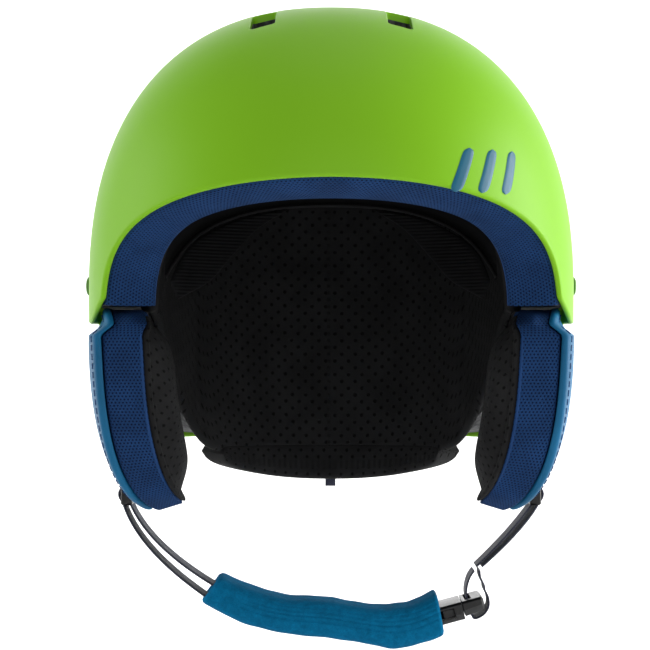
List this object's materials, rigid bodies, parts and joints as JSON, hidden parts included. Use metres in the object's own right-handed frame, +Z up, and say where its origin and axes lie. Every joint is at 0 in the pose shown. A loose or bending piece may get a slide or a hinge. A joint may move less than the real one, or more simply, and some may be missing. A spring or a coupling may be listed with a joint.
{
  "type": "ski helmet",
  "caption": "Junior ski helmet with a smooth vented shell, foam liner, padded ear flaps, buckled chin strap with a fleece chin pad and a rear goggle clip.",
  "frame": {"origin": "head seat: on the helmet's centre plane, at the level of the shell's side rim, where a head's ear-to-ear axis lies", "axes": "+Z up through the crown, -Y towards the brow (front), +X to the right as seen by someone facing the helmet"},
  "size_m": [0.2152, 0.2534, 0.2785],
  "materials": {
    "shell_green": "satin moulded ABS",
    "foam": "expanded bead foam",
    "lining": "perforated knit",
    "navy_mesh": "perforated mesh",
    "teal_cover": "smooth laminated fabric",
    "teal_fleece": "brushed fleece with stitched channels",
    "cushion": "soft brushed knit",
    "webbing": "woven nylon",
    "black_plastic": "moulded acetal",
    "steel": "plated",
    "emblem_print": "printed film"
  },
  "bodies": {
    "helmet": {"outer_shell": "shell_green", "foam_liner": "foam", "comfort_lining": "lining", "brow_trim": "navy_mesh", "rib_panel_left": "lining", "rib_panel_right": "lining", "nape_pad": "lining", "nape_tag": "navy_mesh", "shell_emblem": "emblem_print", "flap_rivets": "black_plastic", "strap_rivets": "black_plastic", "goggle_clip_base": "black_plastic", "goggle_clip_pin": "steel", "goggle_clip_stud": "steel"},
    "flap_left": {"ear_cover_left": "teal_cover", "ear_pad_left": "navy_mesh", "ear_cushion_left": "cushion"},
    "flap_right": {"ear_cover_right": "teal_cover", "ear_pad_right": "navy_mesh", "ear_cushion_right": "cushion"},
    "strap_left": {"strap_tab_left": "steel", "strap_upper_left": "webbing", "strap_adjuster_left": "black_plastic", "strap_outer_left": "webbing", "strap_inner_left": "webbing", "chin_webbing": "webbing", "chin_pad": "teal_fleece"},
    "strap_right": {"strap_tab_right": "steel", "strap_upper_right": "webbing", "strap_adjuster_right": "black_plastic", "strap_outer_right": "webbing", "strap_inner_right": "webbing", "buckle_tongue": "black_plastic"},
    "socket": {"buckle_socket": "black_plastic"},
    "prong_front": {"buckle_prong_front": "black_plastic"},
    "prong_rear": {"buckle_prong_rear": "black_plastic"},
    "goggle_clip": {"goggle_clip": "webbing"}
  },
  "joints": [
    {"name": "flap_left_flex", "type": "hinge", "parent": "helmet", "child": "flap_left", "pos_m": [-0.103, -0.019, 0.004], "axis": [0, 1, 0], "range_deg": [-2, 15], "stiffness_Nm_per_rad": 0.6},
    {"name": "flap_right_flex", "type": "hinge", "parent": "helmet", "child": "flap_right", "pos_m": [0.103, -0.019, 0.004], "axis": [0, -1, 0], "range_deg": [-2, 15], "stiffness_Nm_per_rad": 0.6},
    {"name": "strap_left_swing", "type": "hinge", "parent": "helmet", "child": "strap_left", "pos_m": [-0.095, 0.038, 0.02], "axis": [1, 0, 0], "range_deg": [0, 12]},
    {"name": "strap_right_swing", "type": "hinge", "parent": "helmet", "child": "strap_right", "pos_m": [0.095, 0.038, 0.02], "axis": [1, 0, 0], "range_deg": [0, 12]},
    {"name": "socket_slide", "type": "slide", "parent": "strap_left", "child": "socket", "axis": [-0.9659, 0, -0.2588], "range_m": [0, 0.014]},
    {"name": "prong_front_squeeze", "type": "hinge", "parent": "strap_right", "child": "prong_front", "pos_m": [0.057, -0.011, -0.1244], "axis": [-0.2588, 0, 0.9659], "range_deg": [-5, 0], "stiffness_Nm_per_rad": 0.2},
    {"name": "prong_rear_squeeze", "type": "hinge", "parent": "strap_right", "child": "prong_rear", "pos_m": [0.057, 0.001, -0.1244], "axis": [0.2588, 0, -0.9659], "range_deg": [-5, 0], "stiffness_Nm_per_rad": 0.2},
    {"name": "goggle_clip_open", "type": "hinge", "parent": "helmet", "child": "goggle_clip", "pos_m": [0, 0.1344, 0.022], "axis": [1, 0, 0], "range_deg": [0, 130]}
  ],
  "couplings": [
    {"joint": "strap_right_swing", "follows": "strap_left_swing", "ratio": 1}
  ]
}
